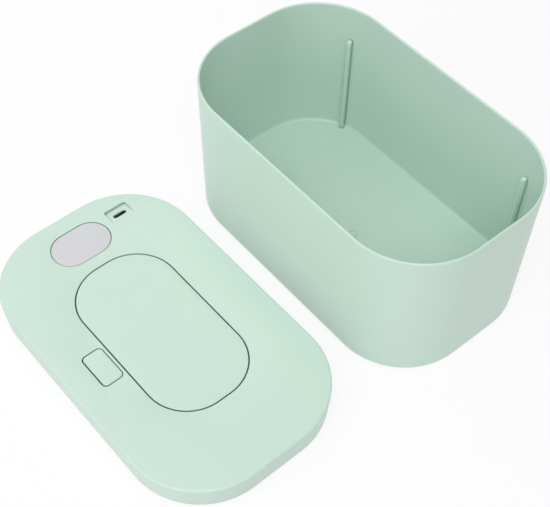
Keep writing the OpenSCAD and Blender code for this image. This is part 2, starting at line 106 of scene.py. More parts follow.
def mathNode(tree, operation, a, b=None):
    node = put(tree, "Math", {"operation": operation})
    for slotNumber, value in enumerate((a, b)):
        if value is None:
            continue
        if isinstance(value, (int, float)):
            node.inputs[slotNumber].default_value = value
        else:
            tree.links.new(value, node.inputs[slotNumber])
    return node.outputs[0]


# Grain of moulded plastic: broad cloudiness, flow streaks and a fine spark-eroded texture.
def buildMouldGrain():
    tree, inside, out = newGroup("mouldGrain", [
        ("Cloud Scale", "Float", 14.0), ("Streak Scale", "Float", 60.0), ("Grain Scale", "Float", 1500.0),
        ("Streak Share", "Float", 0.3),
    ], [("Cloud", "Float"), ("Grain", "Float"), ("Height", "Float")])
    where = put(tree, "TexCoord").outputs["Object"]
    cloud = put(tree, "TexNoise", None, Detail=3.0, Roughness=0.55)
    tree.links.new(where, cloud.inputs["Vector"])
    tree.links.new(inside.outputs["Cloud Scale"], cloud.inputs["Scale"])
    squeeze = put(tree, "Mapping", {"vector_type": "TEXTURE"}, Scale=(1.0, 1.0, 7.0))
    tree.links.new(where, squeeze.inputs["Vector"])
    streak = put(tree, "TexNoise", None, Detail=2.0)
    tree.links.new(squeeze.outputs[0], streak.inputs["Vector"])
    tree.links.new(inside.outputs["Streak Scale"], streak.inputs["Scale"])
    blend = put(tree, "Mix", {"data_type": "FLOAT"})
    tree.links.new(inside.outputs["Streak Share"], blend.inputs["Factor"])
    tree.links.new(cloud.outputs["Fac"], blend.inputs["A"])
    tree.links.new(streak.outputs["Fac"], blend.inputs["B"])
    spread = put(tree, "MapRange")
    spread.inputs["From Min"].default_value, spread.inputs["From Max"].default_value = 0.3, 0.7
    tree.links.new(blend.outputs["Result"], spread.inputs["Value"])
    tree.links.new(spread.outputs[0], out.inputs["Cloud"])
    fine = put(tree, "TexNoise", None, Detail=2.0, Roughness=0.6)
    tree.links.new(where, fine.inputs["Vector"])
    tree.links.new(inside.outputs["Grain Scale"], fine.inputs["Scale"])
    tree.links.new(fine.outputs["Fac"], out.inputs["Grain"])
    pits = put(tree, "TexVoronoi", {"feature": "SMOOTH_F1"})
    tree.links.new(where, pits.inputs["Vector"])
    tree.links.new(inside.outputs["Grain Scale"], pits.inputs["Scale"])
    height = mathNode(tree, "ADD", mathNode(tree, "MULTIPLY", fine.outputs["Fac"], 0.6),
                      mathNode(tree, "MULTIPLY", pits.outputs["Distance"], 0.4))
    tree.links.new(height, out.inputs["Height"])
    return tree


# Brushed or drawn metal: long fine lines along one direction, with faint smudges.
def buildBrushedLines():
    tree, inside, out = newGroup("brushedLines", [
        ("Line Scale", "Float", 900.0), ("Smudge Scale", "Float", 40.0), ("Stretch", "Vector", (40.0, 1.0, 1.0)),
    ], [("Lines", "Float"), ("Smudge", "Float")])
    where = put(tree, "TexCoord").outputs["Object"]
    stretch = put(tree, "Mapping", {"vector_type": "TEXTURE"})
    tree.links.new(where, stretch.inputs["Vector"])
    tree.links.new(inside.outputs["Stretch"], stretch.inputs["Scale"])
    lines = put(tree, "TexNoise", None, Detail=4.0, Roughness=0.7)
    tree.links.new(stretch.outputs[0], lines.inputs["Vector"])
    tree.links.new(inside.outputs["Line Scale"], lines.inputs["Scale"])
    tree.links.new(lines.outputs["Fac"], out.inputs["Lines"])
    smudge = put(tree, "TexNoise", None, Detail=3.0)
    tree.links.new(where, smudge.inputs["Vector"])
    tree.links.new(inside.outputs["Smudge Scale"], smudge.inputs["Scale"])
    tree.links.new(smudge.outputs["Fac"], out.inputs["Smudge"])
    return tree


mouldGrain = buildMouldGrain()
brushedLines = buildBrushedLines()


def newMaterial(name):
    material = bpy.data.materials.new(name)
    material.use_nodes = True
    shader = material.node_tree.nodes["Principled BSDF"]
    return material, material.node_tree, shader


def ranged(tree, source, low, high):
    node = put(tree, "MapRange")
    node.inputs["To Min"].default_value, node.inputs["To Max"].default_value = low, high
    tree.links.new(source, node.inputs["Value"])
    return node.outputs[0]


def mixedTone(tree, factor, deep, pale):
    tint = put(tree, "Mix", {"data_type": "RGBA"})
    tint.inputs["A"].default_value = (*deep, 1)
    tint.inputs["B"].default_value = (*pale, 1)
    tree.links.new(factor, tint.inputs["Factor"])
    return tint.outputs["Result"]


def plastic(name, pale, deep, rough, bump=0.02, grainScale=1500.0, cloudScale=14.0, streakShare=0.3,
            subsurface=0.0, subsurfaceRadius=(0.0, 0.0, 0.0), coat=0.0, specular=0.5, paintedShadeReach=0.0,
            paintedShadeTone=(0.0, 0.0, 0.0)):
    material, tree, shader = newMaterial(name)
    grain = put(tree, "Group", {"node_tree": mouldGrain})
    grain.inputs["Grain Scale"].default_value = grainScale
    grain.inputs["Cloud Scale"].default_value = cloudScale
    grain.inputs["Streak Share"].default_value = streakShare
    colour = mixedTone(tree, grain.outputs["Cloud"], deep, pale)
    if paintedShadeReach:
        # painted shade: an ambient-occlusion mask darkens narrow gaps and the foot of walls towards a deep green
        # crevice tone
        paintedShadeMask = put(tree, "AmbientOcclusion", {"samples": 6}, Distance=paintedShadeReach)
        shade = put(tree, "Mix", {"data_type": "RGBA"})
        shade.inputs["A"].default_value = (*paintedShadeTone, 1)
        tree.links.new(paintedShadeMask.outputs["AO"], shade.inputs["Factor"])
        tree.links.new(colour, shade.inputs["B"])
        colour = shade.outputs["Result"]
    tree.links.new(colour, shader.inputs["Base Color"])
    both = mathNode(tree, "ADD", mathNode(tree, "MULTIPLY", grain.outputs["Grain"], 0.6),
                    mathNode(tree, "MULTIPLY", grain.outputs["Cloud"], 0.4))
    tree.links.new(ranged(tree, both, *rough), shader.inputs["Roughness"])
    lift = put(tree, "Bump", None, Strength=bump, Distance=0.0002)
    tree.links.new(grain.outputs["Height"], lift.inputs["Height"])
    tree.links.new(lift.outputs[0], shader.inputs["Normal"])
    shader.inputs["Specular IOR Level"].default_value = specular
    shader.inputs["Coat Weight"].default_value = coat
    shader.inputs["Coat Roughness"].default_value = 0.08
    shader.inputs["Subsurface Weight"].default_value = subsurface
    shader.inputs["Subsurface Radius"].default_value = subsurfaceRadius
    shader.inputs["Subsurface Scale"].default_value = 1.0
    return material


def metal(name, pale, deep, rough, stretch=(40.0, 1.0, 1.0), lineScale=900.0, bump=0.05):
    material, tree, shader = newMaterial(name)
    drawn = put(tree, "Group", {"node_tree": brushedLines})
    drawn.inputs["Stretch"].default_value = stretch
    drawn.inputs["Line Scale"].default_value = lineScale
    tree.links.new(mixedTone(tree, drawn.outputs["Smudge"], deep, pale), shader.inputs["Base Color"])
    tree.links.new(ranged(tree, drawn.outputs["Lines"], *rough), shader.inputs["Roughness"])
    lift = put(tree, "Bump", None, Strength=bump, Distance=0.0001)
    tree.links.new(drawn.outputs["Lines"], lift.inputs["Height"])
    tree.links.new(lift.outputs[0], shader.inputs["Normal"])
    shader.inputs["Metallic"].default_value = 1.0
    return material


# mintPlastic paints shade into narrow gaps, such as round the door, through its ambient-occlusion crevice mask
mintPlastic = plastic("mintPlastic", (0.582, 0.745, 0.654), (0.566, 0.733, 0.640), (0.30, 0.40), bump=0.05,
                      paintedShadeReach=0.0014, paintedShadeTone=(0.012, 0.09, 0.045))
coverPlastic = plastic("coverPlastic", (0.66, 0.84, 0.75), (0.62, 0.81, 0.72), (0.42, 0.55), bump=0.08)
latchPlastic = plastic("latchPlastic", (0.80, 0.82, 0.80), (0.76, 0.78, 0.76), (0.35, 0.48))
windowGrey = plastic("windowGrey", (0.603, 0.601, 0.626), (0.585, 0.583, 0.612), (0.16, 0.24), bump=0.01,
                     streakShare=0.0, cloudScale=25.0, coat=0.35)
silicone = plastic("silicone", (0.78, 0.82, 0.80), (0.72, 0.77, 0.74), (0.55, 0.70), bump=0.1, grainScale=900.0,
                   subsurface=0.2, subsurfaceRadius=(0.002, 0.0022, 0.002))
filmAmber = plastic("filmAmber", (0.60, 0.25, 0.04), (0.50, 0.17, 0.02), (0.20, 0.32), coat=0.4, cloudScale=60.0)
foamGrey = plastic("foamGrey", (0.34, 0.36, 0.38), (0.24, 0.26, 0.28), (0.80, 0.95), bump=0.6, grainScale=700.0)
sensorBlack = plastic("sensorBlack", (0.03, 0.03, 0.035), (0.02, 0.02, 0.022), (0.20, 0.35), cloudScale=300.0)
fuseBody = plastic("fuseBody", (0.72, 0.67, 0.56), (0.60, 0.54, 0.44), (0.35, 0.5), cloudScale=300.0)
chipBlack = plastic("chipBlack", (0.022, 0.022, 0.024), (0.014, 0.014, 0.016), (0.45, 0.65), cloudScale=300.0)
displayDark = plastic("displayDark", (0.04, 0.04, 0.05), (0.025, 0.025, 0.03), (0.30, 0.45), cloudScale=200.0)
connectorWhite = plastic("connectorWhite", (0.85, 0.83, 0.76), (0.78, 0.75, 0.66), (0.35, 0.5), cloudScale=200.0)
wireRed = plastic("wireRed", (0.52, 0.04, 0.03), (0.40, 0.02, 0.02), (0.30, 0.42), cloudScale=200.0)
springSteel = metal("springSteel", (0.62, 0.63, 0.65), (0.50, 0.51, 0.53), (0.18, 0.34), (1.0, 1.0, 8.0), 1500.0)
screwSteel = metal("screwSteel", (0.66, 0.67, 0.69), (0.52, 0.53, 0.55), (0.22, 0.40), (1.0, 1.0, 12.0), 2000.0)
socketSteel = metal("socketSteel", (0.55, 0.56, 0.58), (0.42, 0.43, 0.45), (0.20, 0.36), (1.0, 1.0, 20.0), 1800.0)
plateAluminium = metal("plateAluminium", (0.80, 0.81, 0.83), (0.72, 0.73, 0.75), (0.28, 0.46), (60.0, 1.0, 1.0),
                       700.0)


# Solder mask over copper tracks: the tracks stand a little proud and show paler.
def boardMaterial(name, mask, track, trackScale):
    material, tree, shader = newMaterial(name)
    where = put(tree, "TexCoord").outputs["Object"]
    tracks = put(tree, "TexBrick", {"offset": 0.37, "squash": 1.0}, Scale=trackScale)
    tracks.inputs["Mortar Size"].default_value = 0.06
    tracks.inputs["Mortar Smooth"].default_value = 0.2
    tree.links.new(where, tracks.inputs["Vector"])
    tree.links.new(mixedTone(tree, tracks.outputs["Fac"], mask, track), shader.inputs["Base Color"])
    haze = put(tree, "TexNoise", None, Scale=300.0, Detail=2.0)
    tree.links.new(where, haze.inputs["Vector"])
    tree.links.new(ranged(tree, haze.outputs["Fac"], 0.22, 0.36), shader.inputs["Roughness"])
    lift = put(tree, "Bump", None, Strength=0.4, Distance=0.00005)
    tree.links.new(tracks.outputs["Fac"], lift.inputs["Height"])
    tree.links.new(lift.outputs[0], shader.inputs["Normal"])
    return material


boardGreen = boardMaterial("boardGreen", (0.02, 0.20, 0.07), (0.05, 0.34, 0.14), 300.0)
print("materials made")

# ---- mesh helpers ----


# A plan is the middle, the half sizes between the corner centres and the corner steps of a rounded outline.
def plan(halfLength, halfWidth, radius, middle=(0, 0), steps=24):
    return {"a": halfLength - radius, "b": halfWidth - radius, "middle": middle, "steps": steps, "r": radius}


def placeRing(verts, p, radius, height):
    for v in verts:
        x, y = v.co.x - p["middle"][0], v.co.y - p["middle"][1]
        centre = Vector((math.copysign(p["a"], x), math.copysign(p["b"], y)))
        outward = (Vector((x, y)) - centre).normalized()
        spot = centre + outward * radius
        v.co = (spot.x + p["middle"][0], spot.y + p["middle"][1], height)


# One flat face with rounded corners, at the given radius and height.
def outlineFace(bm, p, radius, height):
    verts = bmesh.ops.create_grid(bm, x_segments=1, y_segments=1, size=1)["verts"]
    for v in verts:
        v.co = (math.copysign(p["a"] + radius, v.co.x) + p["middle"][0],
                math.copysign(p["b"] + radius, v.co.y) + p["middle"][1], height)
    before = set(bm.faces) - set(verts[0].link_faces)
    bmesh.ops.bevel(bm, geom=verts, offset=radius, offset_type="OFFSET", segments=p["steps"], profile=0.5,
                    affect="VERTICES", material=-1, clamp_overlap=False)
    face = (set(bm.faces) - before).pop()
    bmesh.ops.remove_doubles(bm, verts=list(face.verts), dist=0.001)
    return (set(bm.faces) - before).pop()


def ringOf(bm, p, radius, height):
    face = outlineFace(bm, p, radius, height)
    edges = list(face.edges)
    bmesh.ops.delete(bm, geom=[face], context="FACES_ONLY")
    return edges


# Draws a ring of edges out to each (radius, height) of a section, and gives the last ring.
def carry(bm, edges, p, section):
    for radius, height in section:
        made = bmesh.ops.extrude_edge_only(bm, edges=edges)["geom"]
        edges = [g for g in made if isinstance(g, bmesh.types.BMEdge) and g.is_boundary]
        placeRing({v for e in edges for v in e.verts}, p, radius, height)
    return edges


def corner(cx, cz, radius, start, end, steps):
    return [(cx + radius * math.cos(math.radians(start + (end - start) * i / steps)),
             cz + radius * math.sin(math.radians(start + (end - start) * i / steps))) for i in range(steps + 1)]


# A closed ring that goes once round a plan: the section's last point joins its first.
def closedRing(bm, p, section):
    first = ringOf(bm, p, *section[0])
    last = carry(bm, first, p, section[1:])
    bmesh.ops.bridge_loops(bm, edges=first + last)


def solidPlan(bm, p, section):
    face = outlineFace(bm, p, *section[0])
    last = carry(bm, list(face.edges), p, section[1:])
    bmesh.ops.edgeloop_fill(bm, edges=last)


def roundEdges(bm, verts, bevel, steps):
    if bevel:
        edges = list({e for v in verts for e in v.link_edges})
        bmesh.ops.bevel(bm, geom=edges, offset=bevel, segments=steps, profile=0.5, affect="EDGES", material=-1)


def box(bm, x, y, z, bevel=0.0, steps=2):
    verts = bmesh.ops.create_cube(bm, size=1)["verts"]
    for v in verts:
        v.co = (x[v.co.x > 0], y[v.co.y > 0], z[v.co.z > 0])
    roundEdges(bm, verts, bevel, steps)


# A flat outline of points in (y, z), drawn out along x.
def prism(bm, x, outline, bevel=0.0, steps=2):
    verts = [bm.verts.new((x[0], y, z)) for y, z in outline]
    face = bm.faces.new(verts)
    made = bmesh.ops.extrude_face_region(bm, geom=[face])["geom"]
    moved = [g for g in made if isinstance(g, bmesh.types.BMVert)]
    bmesh.ops.translate(bm, verts=moved, vec=(x[1] - x[0], 0, 0))
    roundEdges(bm, verts + moved, bevel, steps)


def rod(bm, start, end, radius, steps=24, endRadius=None):
    start, end = Vector(start), Vector(end)
    turn = (end - start).to_track_quat("Z", "Y").to_matrix().to_4x4()
    turn.translation = (start + end) / 2
    bmesh.ops.create_cone(bm, cap_ends=True, cap_tris=False, segments=steps, radius1=radius,
                          radius2=radius if endRadius is None else endRadius,
                          depth=(end - start).length, matrix=turn)


# Adds the shapes of one bmesh, put in their place, to another.
def addShapes(bm, extra, place):
    bmesh.ops.transform(extra, matrix=place, verts=extra.verts)
    scratch = bpy.data.meshes.new("scratch")
    extra.to_mesh(scratch)
    extra.free()
    bm.from_mesh(scratch)
    bpy.data.meshes.remove(scratch)


sharpAngle = math.radians(32)


def markSharp(bm):
    for f in bm.faces:
        f.smooth = True
    for e in bm.edges:
        e.smooth = len(e.link_faces) == 2 and e.calc_face_angle(0) < sharpAngle


def finishMesh(bm, name, place):
    bmesh.ops.remove_doubles(bm, verts=bm.verts, dist=0.0005)
    bmesh.ops.dissolve_degenerate(bm, edges=bm.edges, dist=0.0004)
    bmesh.ops.recalc_face_normals(bm, faces=bm.faces)
    bmesh.ops.transform(bm, matrix=toMetres @ place, verts=bm.verts)
    markSharp(bm)
    mesh = bpy.data.meshes.new(name)
    bm.to_mesh(mesh)
    bm.free()
    return mesh


def addPiece(bm, name, body, material, place, stands=()):
    piece = bpy.data.objects.new(name, finishMesh(bm, name, place))
    bpy.context.scene.collection.objects.link(piece)
    piece.data.materials.append(material)
    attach(piece, body)
    if stands:
        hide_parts(*stands)
    return piece


# Cuts holes out of a piece with other meshes, adds a finished mesh to it, and keeps the result.
def cutAway(piece, cutters, added=None):
    for cutter in cutters:
        change = piece.modifiers.new("cut", "BOOLEAN")
        change.operation, change.solver, change.object = "DIFFERENCE", "EXACT", cutter
    bpy.context.view_layer.update()
    result = bpy.data.meshes.new_from_object(piece.evaluated_get(bpy.context.evaluated_depsgraph_get()))
    piece.modifiers.clear()
    piece.data = result
    for cutter in cutters:
        bpy.data.objects.remove(cutter)
    bm = bmesh.new()
    bm.from_mesh(result)
    if added:
        bm.from_mesh(added)
        bpy.data.meshes.remove(added)
    markSharp(bm)
    bm.to_mesh(result)
    bm.free()


def cutterOf(bm, name, place):
    cutter = bpy.data.objects.new(name, finishMesh(bm, name, place))
    bpy.context.scene.collection.objects.link(cutter)
    return cutter


# ---- tub ----

tub = {
    "length": 200, "width": 120, "corner": 44.5, "height": 96.5, "wall": 1.5, "floor": 2.4, "draft": 1.5,
    "fillet": 2.5, "rimRound": 0.72,
    "ribTop": 73.8, "ribOut": 3.1, "ribWidth": 2.4, "ribAngle": 21.6, "ribEdge": 0.35, "ribRoot": 0.9, "ribFoot": 0.6,
    "gateAt": (1, -1.8), "gateOuter": 2.7, "gateInner": 2.1, "gateHeight": 0.25, "gateEdge": 0.15,
    "grooveAt": 11, "grooveWidth": 1.4, "grooveDepth": 0.4, "grooveEdge": 0.1,
}


def buildTub(t):
    bm = bmesh.new()
    p = plan(t["length"] / 2, t["width"] / 2, t["corner"], steps=32)
    top, low = t["corner"], t["corner"] - t["draft"]
    inner = low - t["wall"]
    groove = top - t["grooveAt"]
    grooveIn, lip = groove - t["grooveWidth"], t["grooveEdge"]
    section = [(grooveIn - lip, 0), (grooveIn, lip), (grooveIn, t["grooveDepth"]), (groove, t["grooveDepth"]),
               (groove, lip), (groove + lip, 0)]
    section += corner(low - t["fillet"], t["fillet"], t["fillet"], -90, 0, 10)
    section += [(low + t["draft"] * k, t["height"] * k) for k in (0.25, 0.5, 0.75, 0.95)]
    rim = t["rimRound"]
    section += corner(top - rim, t["height"] - rim, rim, 0, 90, 6)
    section += corner(top - t["wall"] + rim, t["height"] - rim, rim, 90, 180, 6)
    section += [(inner + t["draft"] * k, t["height"] * k) for k in (0.95, 0.75, 0.5, 0.25)]
    section += corner(inner - t["fillet"], t["floor"] + t["fillet"], t["fillet"], 0, -90, 10)
    solidPlan(bm, p, section)
    # upright ribs near the corners
    lean = t["draft"] * t["ribTop"] / t["height"]
    edge = inner - t["ribOut"]
    foot, root = t["floor"] - t["ribFoot"], inner + t["ribRoot"]
    outline = [(edge, foot), (edge + lean * 0.97, t["ribTop"] - 2.2), (edge + lean + 0.5, t["ribTop"] - 0.7),
               (edge + lean + 1.4, t["ribTop"]), (root + lean, t["ribTop"]), (root, foot)]
    for sideX in (1, -1):
        for sideY in (1, -1):
            rib = bmesh.new()
            prism(rib, (-t["ribWidth"] / 2, t["ribWidth"] / 2), outline, bevel=t["ribEdge"], steps=3)
            angle = math.radians(t["ribAngle"]) * sideX * sideY
            turn = Matrix.Rotation(-angle if sideY > 0 else math.pi - angle, 4, "Z")
            addShapes(bm, rib, Matrix.Translation((sideX * p["a"], sideY * p["b"], 0)) @ turn)
    # mark of the mould's gate
    gate = plan(t["gateOuter"], t["gateOuter"], t["gateOuter"], t["gateAt"], steps=12)
    z, h, e = t["floor"], t["gateHeight"], t["gateEdge"]
    closedRing(bm, gate, [(t["gateOuter"], z - 0.2), (t["gateOuter"], z + h * 0.6), (t["gateOuter"] - e, z + h),
                          (t["gateInner"] + e, z + h), (t["gateInner"], z + h * 0.6), (t["gateInner"], z - 0.2)])
    return addPiece(bm, "tubShell", "tub", mintPlastic, tubPlace, ("tub",))


buildTub(tub)
print("tub built")

# ---- lid top shell ----

lid = {
    "length": 200, "width": 120, "corner": 44.5, "top": 19, "skin": 2, "wall": 2.2, "taper": 0.9, "edge": 1.2,
    "bottom": 3, "footEdge": 0.35, "deck": 7, "ledge": 12, "ledgeThick": 2, "holeEdge": 0.25,
    "cheek": 1.2, "cheekLow": 3.1, "cheekBack": 3.3, "guide": 1.0, "guideGap": 1.4, "guideLength": 12, "guideDrop": 4,
    "stopWidth": 8, "pinRadius": 0.9, "pinRise": 1.15, "portSkin": 1.1, "bossRadius": 3, "bossBore": 1.28,
    "intoSkin": 0.3,
}
door = {
    "length": 111.6, "width": 60.2, "corner": 26.2, "gap": 0.7, "hingeBack": 5.5, "hingeDrop": 3.4, "armAt": 18,
    "armWidth": 5, "openingInset": 10.5, "topEdge": 0.4, "sideDepth": 0.8, "underCut": 1.2,
}
button = {"length": 22.8, "width": 12.6, "corner": 2.6, "gap": 0.5, "away": 8.25, "lean": 0.15, "thick": 2.6,
          "topEdge": 0.45}
window = {"width": 24.4, "length": 36.8, "fromEnd": 23.8, "gap": 0.3, "flange": 1.1, "topEdge": 0.55}
port = {"side": 30.5, "back": 4.9, "slotLength": 8.8, "slotWidth": 3.0, "far": 6, "near": 4.6, "across": 15,
        "corner": 1.6, "depth": 1.75}

doorEdge = door["width"] / 2 - door["gap"] / 2
wellEdge = door["width"] / 2 + door["gap"] / 2
hinge = (0, doorEdge + door["hingeBack"], lid["top"] - door["hingeDrop"])
bayIn = door["armAt"] - door["armWidth"] / 2 - 0.6
bayOut = door["armAt"] + door["armWidth"] / 2 + 0.6
springBay = bayIn - 4.5
buttonY = -(door["width"] / 2 + button["away"])
springStop = -lid["width"] / 2 + 7
springLength = (buttonY - springStop) * 11 / 29
windowX = -lid["length"] / 2 + window["fromEnd"]
portX = windowX - port["back"]
skinZ = lid["top"] - lid["skin"]


def doorPlan(steps=24):
    return plan(door["length"] / 2, door["width"] / 2, door["corner"], steps=steps)


def buildLidShell(s):
    bm = bmesh.new()
    body = plan(s["length"] / 2, s["width"] / 2, s["corner"], steps=32)
    r, top, e = s["corner"], s["top"], s["holeEdge"]
    # rings of the top skin's edge and of its holes, above and below
    outerTop = ringOf(bm, body, r - s["edge"], top)
    skirt = corner(r - s["edge"], top - s["edge"], s["edge"], 90, 0, 8)[1:]
    skirt += [(r - s["taper"] * k, top - (top - s["bottom"]) * k) for k in (0.3, 0.6)]
    foot = s["footEdge"]
    skirt += corner(r - s["taper"] - foot, s["bottom"] + foot, foot, 0, -90, 3)
    skirt += corner(r - s["taper"] - s["wall"] + foot, s["bottom"] + foot, foot, -90, -180, 3)
    skirt += [(r - s["wall"], skinZ)]
    outerUnder = carry(bm, outerTop, body, skirt)
    topEdges, underEdges = list(outerTop), list(outerUnder)

    # straight-sided holes with a small round at the top
    def hole(p, radius, steps=3):
        turns = [math.radians(90 * i / steps) for i in range(1, steps + 1)]
        rounded = [(radius + e * (1 - math.sin(t)), top - e * (1 - math.cos(t))) for t in turns]
        return ringOf(bm, p, radius + e, top), rounded

    doorHole = doorPlan()
    first, section = hole(doorHole, door["corner"] + door["gap"] / 2)
    wellR = door["corner"] + door["gap"] / 2
    topEdges += first
    opening = door["corner"] - door["openingInset"]
    section += [(wellR, s["ledge"]), (opening + 0.3, s["ledge"]), (opening, s["ledge"] - 0.3), (opening, s["deck"]),
                (opening + 1.6, s["deck"]), (opening + 1.6, s["ledge"] - s["ledgeThick"]),
                (wellR + 1.5, s["ledge"] - s["ledgeThick"]), (wellR + 1.5, skinZ)]
    underEdges += carry(bm, first, doorHole, section)

    buttonHole = plan(button["length"] / 2, button["width"] / 2, button["corner"], (0, buttonY - button["lean"]), 8)
    first, section = hole(buttonHole, button["corner"] + button["gap"] / 2)
    topEdges += first
    underEdges += carry(bm, first, buttonHole, section + [(button["corner"] + button["gap"] / 2, skinZ)])

    windowR = window["width"] / 2
    windowHole = plan(windowR, window["length"] / 2, windowR, (windowX, 0), steps=24)
    first, section = hole(windowHole, windowR + window["gap"] / 2)
    topEdges += first
    underEdges += carry(bm, first, windowHole, section + [(windowR + window["gap"] / 2, skinZ)])

    # sloped pocket of the port
    mid = (portX + (port["near"] - port["far"]) / 2, port["side"])
    pocket = plan((port["near"] + port["far"]) / 2, port["across"] / 2, port["corner"], mid, steps=8)
    nearX, fall = portX + port["near"], port["depth"] / (port["near"] + port["far"] + 1)
    first = ringOf(bm, pocket, port["corner"], top)
    topEdges += first
    rampEdges = carry(bm, first, pocket, [(port["corner"] - 0.12, top - 0.02)])

    def toRamp(verts, extra=0.0):
        for v in verts:
            v.co.z = top - fall * max(nearX - v.co.x, 0) - extra

    toRamp({v for edge in rampEdges for v in edge.verts})
    slotHole = plan(port["slotWidth"] / 2, port["slotLength"] / 2, port["slotWidth"] / 2, (portX, port["side"]), 12)
    slotRing = ringOf(bm, slotHole, port["slotWidth"] / 2 + 0.3, top)
    toRamp({v for edge in slotRing for v in edge.verts})
    bmesh.ops.triangle_fill(bm, edges=rampEdges + slotRing, use_beauty=True)
    lower = carry(bm, slotRing, slotHole, [(port["slotWidth"] / 2, top)])
    toRamp({v for edge in lower for v in edge.verts}, 0.3)
    underEdges += carry(bm, lower, slotHole, [(port["slotWidth"] / 2, skinZ)])

    bmesh.ops.triangle_fill(bm, edges=topEdges, use_beauty=True)
    bmesh.ops.triangle_fill(bm, edges=underEdges, use_beauty=True)
    shell = addPiece(bm, "lidShell", "lid", mintPlastic, lidPlace, ("lid_top_shell",))

    # room for the hinge arms, the catch and the latch's nose
    cuts = bmesh.new()
    for low, high in ((-bayOut, -bayIn), (springBay, bayOut)):
        box(cuts, (low, high), (doorEdge - 7, hinge[1] + 2.6), (s["deck"] + 0.02, skinZ + 0.9))
    box(cuts, (-4.8, 4.8), (-wellEdge, -doorEdge + 4.9), (s["ledge"] - s["ledgeThick"] - 1, s["ledge"] + 0.01))
    box(cuts, (-4.6, 4.6), (-wellEdge - 2.5, -doorEdge), (s["ledge"] + 0.6, s["ledge"] + 3))
    cutAway(shell, [cutterOf(cuts, "roomCutter", lidPlace)], lidInnards(s))
    return shell


# Cheeks, guides and bosses under the top skin, as a finished mesh.
def lidInnards(s):
    bm = bmesh.new()
    roof = skinZ + s["intoSkin"]
    hingeY, hingeZ = hinge[1], hinge[2]
    across, upright = (wellEdge + 0.02, hingeY + s["cheekBack"]), (hingeZ - s["cheekLow"], roof)
    for x in (-bayIn, springBay - s["cheek"], bayOut, -bayOut - s["cheek"]):
        box(bm, (x, x + s["cheek"]), across, upright, bevel=0.2)
    # rest for the door spring's long leg
    box(bm, (springBay - 0.2, springBay + 1.6), (hingeY + 4.4, hingeY + 6.6), (hingeZ - 1.08, roof), bevel=0.2)
    near = button["length"] / 2 + s["guideGap"]
    for side in (-1, 1):
        x = sorted((side * near, side * (near + s["guide"])))
        reach = s["guideLength"] / 2
        box(bm, x, (buttonY - reach, buttonY + reach), (skinZ - s["guideDrop"], roof), bevel=0.2)
    # stop and pin for the latch spring
    half, pinZ = s["stopWidth"] / 2, s["ledge"] + s["pinRise"]
    box(bm, (-half, half), (springStop - 1.2, springStop), (s["ledge"] - 1, roof), bevel=0.2)
    rod(bm, (0, springStop - 0.4, pinZ), (0, springStop + springLength / 3, pinZ), s["pinRadius"])
    # thicker skin round the port, above the socket
    back, front = windowX - 12.8, windowX + 2.2
    under = (skinZ - s["portSkin"], roof)
    for y in ((port["side"] - 9, port["side"] - 4.9), (port["side"] + 4.9, port["side"] + 9)):
        box(bm, (back, front), y, under, bevel=0.15)
    for x in ((back, portX - 2), (portX + 2, front)):
        box(bm, x, (port["side"] - 5.2, port["side"] + 5.2), under, bevel=0.15)
    for sideX in (-1, 1):
        for sideY in (-1, 1):
            for x, y in ((69, 44), (bayOut + 8.9, 50.5)):
                r, bore = s["bossRadius"], s["bossBore"]
                boss = plan(r, r, r, (sideX * x, sideY * y), steps=8)
                closedRing(bm, boss, [(r, s["deck"]), (r, roof), (bore, roof), (bore, s["deck"])])
    return finishMesh(bm, "lidInnards", lidPlace)


buildLidShell(lid)
print("lid shell built")

# ---- door ----


def buildDoor(d):
    bm = bmesh.new()
    p = doorPlan(steps=24)
    r, top, t = d["corner"] - d["gap"] / 2, lid["top"], d["topEdge"]
    section = [(r - d["underCut"] - 2, skinZ), (r - d["underCut"], skinZ)]
    section += [(r - 0.1, top - d["sideDepth"] - 0.1), (r, top - d["sideDepth"])]
    section += corner(r - t, top - t, t, 0, 90, 5) + [(r - 6, top)]
    solidPlan(bm, p, section)
    ring = d["corner"] - d["gap"] / 2
    outer, inner = ring - 7.8, ring - 9.4
    closedRing(bm, doorPlan(steps=16), [
        (outer, skinZ + 0.3), (outer, lid["ledge"] + 1.9), (outer - 0.3, lid["ledge"] + 1.6),
        (inner + 0.3, lid["ledge"] + 1.6), (inner, lid["ledge"] + 1.9), (inner, skinZ + 0.3)])
    # gooseneck arms round the hinge pin
    hy, hz = hinge[1], hinge[2]
    neck = [(-7.9, -8.1), (1.0, -8.1), (1.4, -7.7), (1.4, 0.6), (-1.4, 0.6), (-1.4, -5.9), (-1.8, -6.3), (-6.3, -6.3),
            (-6.7, -5.9), (-6.7, d["hingeDrop"] - 1.6), (-8.7, d["hingeDrop"] - 1.6), (-8.7, -7.3)]
    for at in (-d["armAt"], d["armAt"]):
        x = (at - d["armWidth"] / 2, at + d["armWidth"] / 2)
        prism(bm, x, [(hy + y, hz + z) for y, z in neck], bevel=0.25)
        rod(bm, (x[0] - 0.02, hy, hz), (x[1] + 0.02, hy, hz), 1.8, steps=32)
    catch = [(4.2, -1.7), (4.2, -8), (2.6, -8.2), (1.2, -7.2), (1.2, -6.7), (2.4, -6.6), (2.4, -1.7)]
    prism(bm, (-4, 4), [(y - doorEdge, top + z) for y, z in catch], bevel=0.15)
    return addPiece(bm, "doorLeaf", "door", mintPlastic, lidPlace, ("door",))


